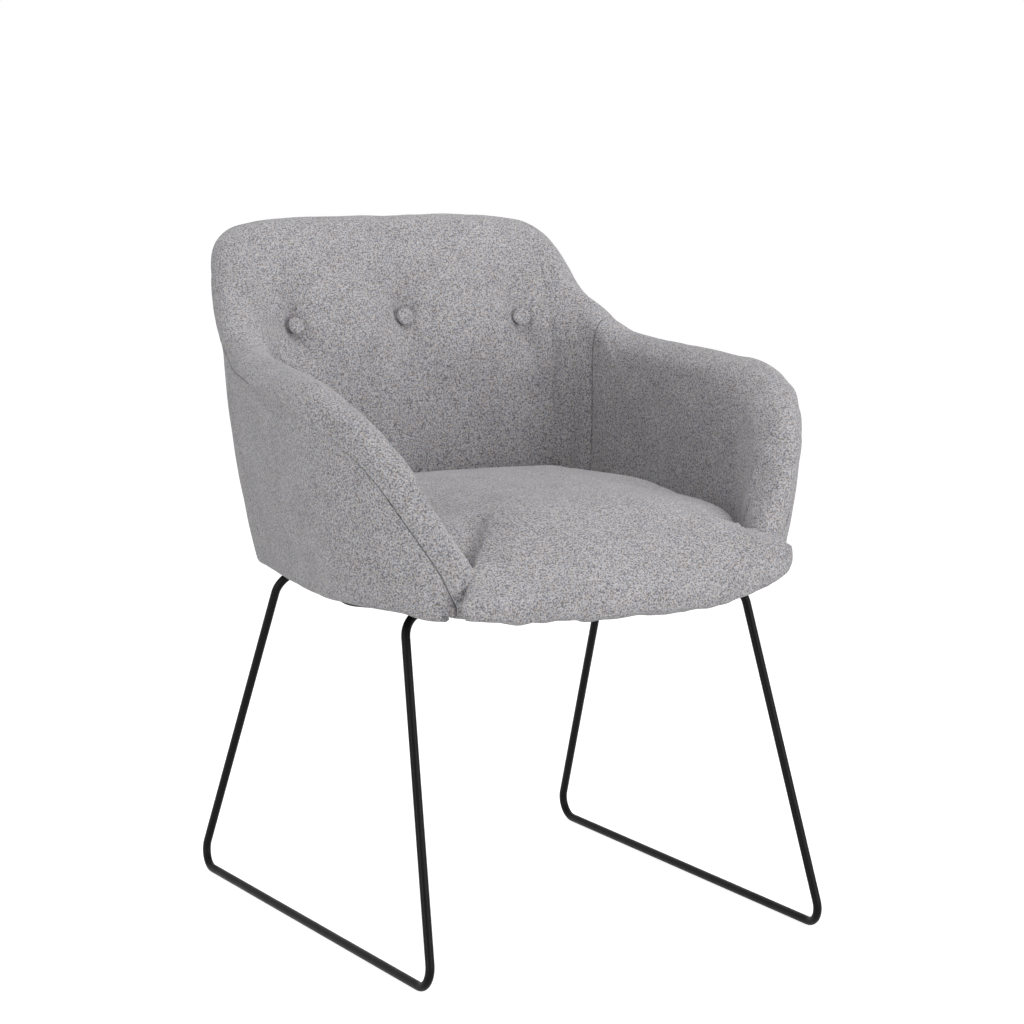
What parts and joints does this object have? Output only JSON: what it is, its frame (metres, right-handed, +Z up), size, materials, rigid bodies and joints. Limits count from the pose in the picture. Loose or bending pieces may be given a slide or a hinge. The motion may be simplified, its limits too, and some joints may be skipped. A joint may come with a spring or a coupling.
{
  "type": "tub armchair",
  "caption": "Upholstered tub armchair with a buttoned, reclined back, wrap-round arms and a crowned seat on a bent steel rod sled base.",
  "frame": {"origin": "on the floor, under the middle of the chair's overall width and depth", "axes": "+Z up; the chair faces -Y, so +Y points behind its back; +X is the sitter's left"},
  "size_m": [0.6102, 0.6702, 0.7993],
  "materials": {
    "grey_cloth": "felted grey melange weave",
    "powder_coat": "satin black powder coat",
    "zinc_steel": "zinc plated",
    "plywood": "raw plywood",
    "moulded_core": "moulded",
    "foam": "cut upholstery foam",
    "twine": "waxed twine",
    "dust_cloth": "thin black cloth"
  },
  "bodies": {
    "root": {"arm_foam_left": "foam", "arm_foam_right": "foam", "back_button_centre": "grey_cloth", "back_button_left": "grey_cloth", "back_button_right": "grey_cloth", "back_foam": "foam", "button_tie_centre": "twine", "button_tie_left": "twine", "button_tie_right": "twine", "button_washer_centre": "zinc_steel", "button_washer_left": "zinc_steel", "button_washer_right": "zinc_steel", "dust_cover": "dust_cloth", "frame_bolt_front_left": "zinc_steel", "frame_bolt_front_right": "zinc_steel", "frame_bolt_rear_left": "zinc_steel", "frame_bolt_rear_right": "zinc_steel", "inside_arm_cover_left": "grey_cloth", "inside_arm_cover_right": "grey_cloth", "inside_back_cover": "grey_cloth", "mounting_plate_front_left": "powder_coat", "mounting_plate_front_right": "powder_coat", "mounting_plate_rear_left": "powder_coat", "mounting_plate_rear_right": "powder_coat", "outside_arm_cover_left": "grey_cloth", "outside_arm_cover_right": "grey_cloth", "outside_arm_foam_left": "foam", "outside_arm_foam_right": "foam", "outside_back_cover": "grey_cloth", "outside_back_foam": "foam", "seat_board": "plywood", "seat_cover": "grey_cloth", "seat_foam": "foam", "shell_screw_1": "zinc_steel", "shell_screw_2": "zinc_steel", "shell_screw_3": "zinc_steel", "shell_screw_4": "zinc_steel", "shell_screw_5": "zinc_steel", "shell_screw_6": "zinc_steel", "shell_screw_7": "zinc_steel", "shell_screw_8": "zinc_steel", "sled_rod_left": "powder_coat", "sled_rod_right": "powder_coat", "t_nut_front_left": "zinc_steel", "t_nut_front_right": "zinc_steel", "t_nut_rear_left": "zinc_steel", "t_nut_rear_right": "zinc_steel", "tub_shell": "moulded_core"}
  },
  "joints": []
}
